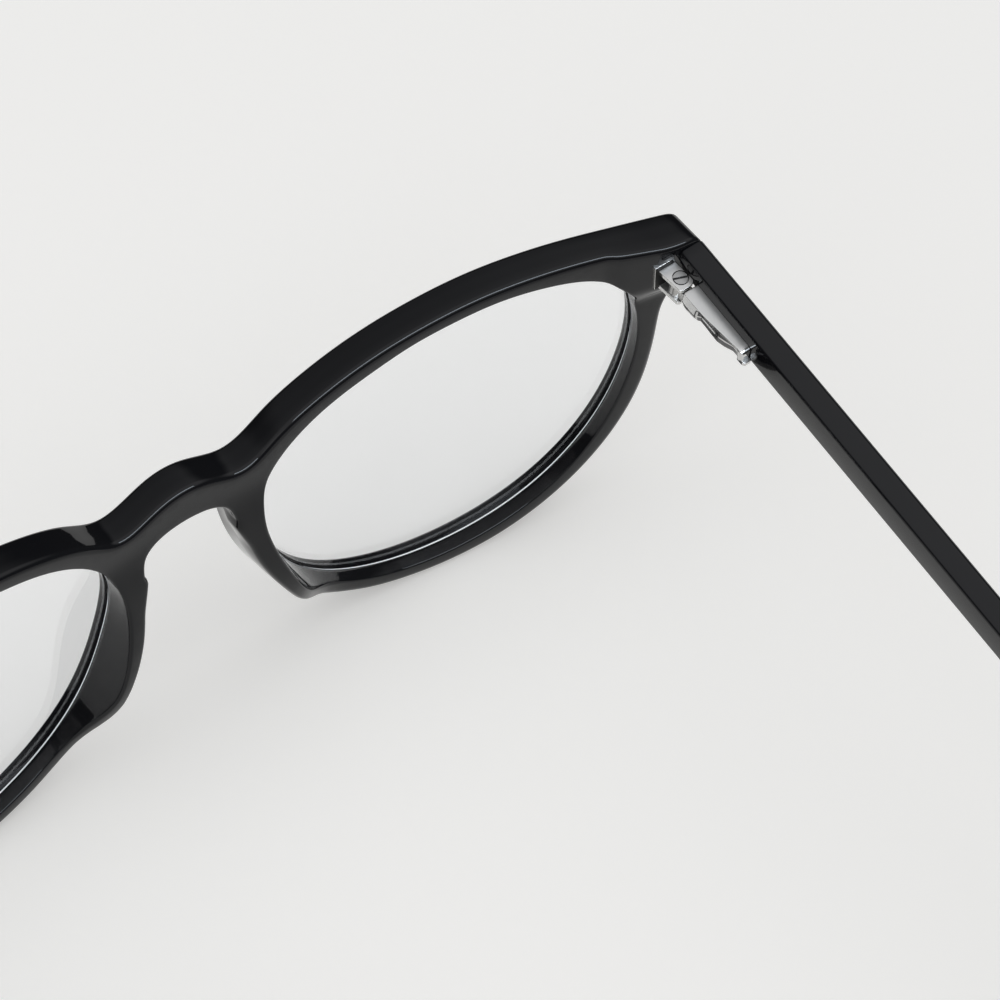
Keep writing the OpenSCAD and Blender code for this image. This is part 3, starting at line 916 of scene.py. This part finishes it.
for s, side in ((-1, "right"), (1, "left")):
    # plate let into the back of the end piece
    plate = prism("plate", s, [(60.15, 38.85), (62.95, 38.85), (62.95, 42.6), (60.15, 42.6)], 11.4, 12.1, M_HINGE, 0.07, 3, local=False, axis="y")
    # painted shade: the plate's rear face, in the gap behind the leaves, takes the near-black material
    plate.data.materials.append(M_PAINTED_SHADE)      # the rear face lies in the gap behind the leaves
    for poly in plate.data.polygons:
        if poly.normal.y > 0.9:
            poly.material_index = 1
    upper = leaf(s, 1.0, 1.6)
    cut_with(upper, disc("bore", s, 0.985, 1.22, 2.0, M_HINGE))
    # painted shade: a near-black ring lines the bore of the upper leaf
    ring = lathe("ring", s, [(0.3, 1.2), (0.95, 1.2), (0.955, 1.24), (0.955, 1.5), (0.99, 1.57), (0.985, 1.2)], 64, M_PAINTED_SHADE)
    h = join("hinge_leaves_" + side, [upper, leaf(s, -1.6, -1.0), plate, ring])
    weighted(h, 40)
    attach(h, "front"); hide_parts("front_hinge_" + side)
    # screw: two halves of a slotted head over a turned shank
    a = [math.radians(t) for t in range(10, 171, 8)]
    half1 = [(0.86 * math.cos(t), 0.86 * math.sin(t)) for t in a if 0.86 * math.sin(t) > 0.13]
    half1 = [(0.85, 0.13)] + half1 + [(-0.85, 0.13)]
    half2 = [(-x, -y) for x, y in half1]
    rot = math.radians(20)
    def turn(P):
        return [(x * math.cos(rot) - y * math.sin(rot), x * math.sin(rot) + y * math.cos(rot)) for x, y in P]
    p1 = prism("h1", s, turn(half1), 1.36, 1.62, M_SCREW, 0.04, 2)
    p2 = prism("h2", s, turn(half2), 1.36, 1.62, M_SCREW, 0.04, 2)
    shank = lathe("shank", s, [(0.2, -1.6), (0.5, -1.57), (0.5, 1.2), (0.84, 1.26), (0.84, 1.42), (0.3, 1.42)], 48, M_SCREW)
    # painted shade: a near-black disc under the head shows as the dark slot between the halves
    gloom = lathe("gloom", s, [(0.1, 1.3), (0.845, 1.3), (0.845, 1.445), (0.1, 1.445)], 48, M_PAINTED_SHADE)
    sc = join("screw_slotted_" + side, [p1, p2, shank, gloom])
    weighted(sc, 40)
    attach(sc, "front"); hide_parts("hinge_screw_" + side)
    # the eye between the leaves
    K = 0.95
    barrel = lathe("barrel", s, [(0.79, -K), (1.12, -K), (1.15, -K + 0.04), (1.15, K - 0.04), (1.12, K), (0.79, K)], 64, M_DARK)
    neck = prism("neck", s, [(-0.75, 0.8), (0.75, 0.8), (0.75, 3.2), (-0.75, 3.2)], -0.75, 0.75, M_DARK, 0.05, 2)
    rod = lathe("rod", s, [(0.1, 3.0), (0.26, 3.05), (0.26, 8.1), (0.1, 8.2)], 24, M_DARK, axis="y")
    eye = join("eye_pull_rod_" + side, [barrel, neck, rod])
    weighted(eye, 40)
    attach(eye, "eye_" + side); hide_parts("hinge_eye_" + side)


def housing_mesh(s):
    ys = np.array([1.76, 1.79, 1.85, 1.98, 2.3, 2.7, 3.4, 4.1, 4.6, 4.9, 5.2, 5.6, 6.2, 7.0, 8.0, 9.0, 10.0, 10.8, 11.2, 11.5, 11.7, 11.84, 11.9])
    k = lambda a, b: np.interp(ys, a, b)
    xm = k([1.76, 2.1, 4.3, 5.75, 8.7, 11.9], [-0.86, -0.98, -0.95, -0.88, -0.5, -0.13])            # top medial edge
    # side face: full height near the knuckle, then scooped to a thin web with a heel at the rear
    full = 1 - smoothstep(4.3, 5.3, ys)
    heel = smoothstep(10.6, 11.2, ys)
    xs1 = xm - 0.05 * full + 0.26 * (1 - full) * (1 - heel) - 0.02 * heel      # upper side, below the lip
    web = smoothstep(8.6, 9.3, ys)           # the spring ends here; behind it the side may be thinner
    zs1 = 1.6 - 0.62 * (1 - full) * (1 - heel) - 0.3 * full - 0.3 * heel
    xs2 = xm - 0.12 * full + 0.50 * (1 - full) * (1 - heel) + 0.10 * heel
    zs2 = 0.15 * full + 0.25 * (1 - full)
    xs1 = np.minimum(xs1, np.where(web < 1, -0.58 + 0.5 * web, 9.0))
    xs2 = np.minimum(xs2, np.where(web < 1, -0.62 + 0.5 * web, 9.0))
    xb = xs2 + 0.30 * full + 0.16 * (1 - full)
    zb = k([1.76, 3.0, 4.2, 5.3, 7.5, 9.8, 11.0, 11.9], [-1.2, -1.25, -1.05, -0.9, -1.05, -1.05, -0.95, -0.8])
    zt = k([1.76, 11.2, 11.9], [1.6, 1.6, 1.5])
    ins = k([1.76, 1.79, 1.85, 1.98, 11.2, 11.5, 11.7, 11.84, 11.9], [0.14, 0.07, 0.02, 0, 0, 0.03, 0.09, 0.18, 0.3])
    verts, rings = [], []
    for i, y in enumerate(ys):
        xw = 1.1
        corners = [(xw, zt[i]), (xm[i], zt[i]), (xs1[i], zs1[i]), (xs2[i], zs2[i]), (xb[i], zb[i]), (xw, zb[i])]
        rad = [0.03, 0.05, 0.10, 0.18, 0.20, 0.03]
        pts = []
        n = len(corners)
        for c in range(n):
            p = np.array(corners[c]); a = np.array(corners[c - 1]); b = np.array(corners[(c + 1) % n])
            la, lb = max(np.linalg.norm(a - p), 1e-4), max(np.linalg.norm(b - p), 1e-4)
            r = min(rad[c] * 1.5, 0.45 * la, 0.45 * lb)
            u = (a - p) / la; v = (b - p) / lb
            for t in np.linspace(0, 1, 5):
                q0 = p + u * r; q2 = p + v * r
                pts.append((1 - t) ** 2 * q0 + 2 * t * (1 - t) * p + t * t * q2)
        pts = np.array(pts)
        c = pts.mean(0)
        v = pts - c
        pts = c + v * (1 - ins[i] / np.maximum(np.linalg.norm(v, axis=1), 0.3)[:, None])
        base = len(verts)
        verts.extend([(q[0], y, q[1]) for q in pts])
        rings.append(np.arange(base, base + len(pts)))
    faces, shade = [], []
    m = len(rings[0])
    for j in range(len(rings) - 1):
        A, B = rings[j], rings[j + 1]
        for i in range(m):
            k2 = (i + 1) % m
            faces.append((A[i], A[k2], B[k2], B[i]))
            # painted shade and dark reflection: the scooped faces take a near-black nickel, with one brighter line
            # along its middle left in the case's own nickel
            scooped = ys[j] >= 4.5 and ys[j + 1] <= 11.21
            shade.append(1 if scooped and (9 <= i <= 14 or 17 <= i <= 21) else 0)
    faces.append(tuple(rings[0][::-1])); faces.append(tuple(rings[-1]))
    return hinge_point(s, np.array(verts)), faces, shade + [0, 0]


for s, side in ((-1, "right"), (1, "left")):
    v, f, shade = housing_mesh(s)
    body = make("body", v, f, [M_HOUSE, M_SCOOP_SHADE], mat_index=shade)
    foot = prism("foot", s, [(0.05, 11.0), (0.05, 12.0), (0.3, 12.3), (1.12, 12.3), (1.12, 11.0)], -1.0, -0.35, M_HOUSE, 0.08, 3)
    ob = join("spring_case_" + side, [body, foot])
    weighted(ob, 50)
    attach(ob, "temple_" + side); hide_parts("spring_housing_" + side)

# carried-over CAD pieces keep their shape and get a real finish
M_BRASS = metal("sleeve_metal", (0.66, 0.65, 0.62), 0.3, 0.45)
M_WIRE = metal("core_wire_metal", (0.55, 0.55, 0.55), 0.3, 0.5)
for name, mat in (("hinge_bushing", M_BRASS), ("hinge_spring", M_DARK), ("spring_nut", M_DARK), ("core_wire", M_WIRE)):
    for side in ("right", "left"):
        o = frame["nodes"][name + "_" + side]
        o.data.materials.clear()
        o.data.materials.append(mat)

# ------------------------------------------------------------------ stage
fm, nt, b, out = new_mat("floor_paper")
tc = nt.nodes.new("ShaderNodeTexCoord")
n1 = noise(nt, 3, 2, 0.5, tc.outputs["Object"])
mix = nt.nodes.new("ShaderNodeMix"); mix.data_type = "RGBA"
mix.inputs["A"].default_value = (0.805, 0.80, 0.785, 1)
mix.inputs["B"].default_value = (0.825, 0.82, 0.805, 1)
nt.links.new(n1.outputs["Fac"], mix.inputs["Factor"])
nt.links.new(mix.outputs["Result"], b.inputs["Base Color"])
b.inputs["Roughness"].default_value = 0.85
b.inputs["Specular IOR Level"].default_value = 0.1
# a light table: part of the paper's light comes from within, so shadows stay faint
b.inputs["Emission Color"].default_value = (1.0, 0.995, 0.975, 1)
b.inputs["Emission Strength"].default_value = 0.32
bm = bmesh.new()
bmesh.ops.create_grid(bm, x_segments=8, y_segments=8, size=2.5)
me = bpy.data.meshes.new("floor")
bm.to_mesh(me); bm.free()
me.materials.append(fm)
floor = bpy.data.objects.new("floor", me)
floor.location = (0, 0, -0.0001)
scene.collection.objects.link(floor)


def area_light(name, loc, target, size, power, color=(1, 1, 1), size_y=None):
    ld = bpy.data.lights.new(name, "AREA")
    ld.shape = "RECTANGLE" if size_y else "SQUARE"
    ld.size = size
    if size_y:
        ld.size_y = size_y
    ld.energy = power
    ld.color = color
    ob = bpy.data.objects.new(name, ld)
    ob.location = loc
    d = Vector(target) - Vector(loc)
    ob.rotation_euler = d.to_track_quat("-Z", "Y").to_euler()
    scene.collection.objects.link(ob)
    return ob


world = bpy.data.worlds.new("studio")
scene.world = world
world.use_nodes = True
wt = world.node_tree
bg = wt.nodes["Background"]
bg.inputs[0].default_value = (0.985, 0.99, 1.0, 1)
# a dark card in front of the part, the bright tent overhead and behind it
wc = wt.nodes.new("ShaderNodeTexCoord")
ws = wt.nodes.new("ShaderNodeSeparateXYZ")
wt.links.new(wc.outputs["Generated"], ws.inputs[0])
wm = wt.nodes.new("ShaderNodeMapRange")
wm.interpolation_type = "SMOOTHSTEP"
wm.inputs["From Min"].default_value = -0.62
wm.inputs["From Max"].default_value = -0.1
wm.inputs["To Min"].default_value = 0.35
wm.inputs["To Max"].default_value = 1.0
wt.links.new(ws.outputs[1], wm.inputs["Value"])
wh = wt.nodes.new("ShaderNodeMapRange")
wh.interpolation_type = "SMOOTHSTEP"
wh.inputs["From Min"].default_value = 0.40
wh.inputs["From Max"].default_value = 0.66
wh.inputs["To Min"].default_value = 0.10
wh.inputs["To Max"].default_value = 1.0
wt.links.new(ws.outputs[2], wh.inputs["Value"])
wx = wt.nodes.new("ShaderNodeMath")
wx.operation = "MULTIPLY"
wt.links.new(wm.outputs[0], wx.inputs[0])
wt.links.new(wh.outputs[0], wx.inputs[1])
wt.links.new(wx.outputs[0], bg.inputs[1])


def softbox(name, direction, width, height, power, color=(1, 1, 1), dist=3.0):
    d = Vector(direction).normalized()
    return area_light(name, tuple(d * dist), (0, 0, 0), width, power, color, height)


strip = softbox("edge_strip", (-0.05, 0.56, 0.83), 4.4, 0.62, 86, (0.80, 0.89, 1.0))
softbox("side_box", (0.95, 0.45, 0.5), 1.4, 1.4, 4)
# the strip draws the highlights on the part only; the paper keeps its even light
lit = bpy.data.collections.new("strip_receivers")
for o in scene.objects:
    if o.type == "MESH" and o is not floor and not o.name.startswith("lens_glass"):
        lit.objects.link(o)
strip.light_linking.receiver_collection = lit

# ------------------------------------------------------------------ camera
AZ, EL = math.radians(143.256), math.radians(54.122)
DIST, FPIX, U0, V0 = 612.618, 5445.079, 164.243, 514.389
back = np.array([math.sin(AZ) * math.cos(EL), -math.cos(AZ) * math.cos(EL), math.sin(EL)])
right = np.array([math.cos(AZ), math.sin(AZ), 0.0])
up = np.cross(back, right)
ox, oy = (U0 - 500) / FPIX * DIST, (V0 - 500) / FPIX * DIST
C = -ox * right + oy * up + DIST * back      # from the pole height of the lens shape
C = C + np.array([0, 0, CZ])
cam_d = bpy.data.cameras.new("camera")
cam_d.sensor_width = 36
cam_d.lens = FPIX * 36 / 1000
cam_d.clip_start = 0.01
cam_d.clip_end = 20
cam = bpy.data.objects.new("camera", cam_d)
Mx = Matrix(((right[0], up[0], back[0], 0), (right[1], up[1], back[1], 0), (right[2], up[2], back[2], 0), (0, 0, 0, 1)))
loc = row(C)
Mx.translation = Vector(loc.tolist())
cam.matrix_world = Mx
scene.collection.objects.link(cam)
scene.camera = cam
scene.view_settings.view_transform = "Standard"

bpy.context.view_layer.update()
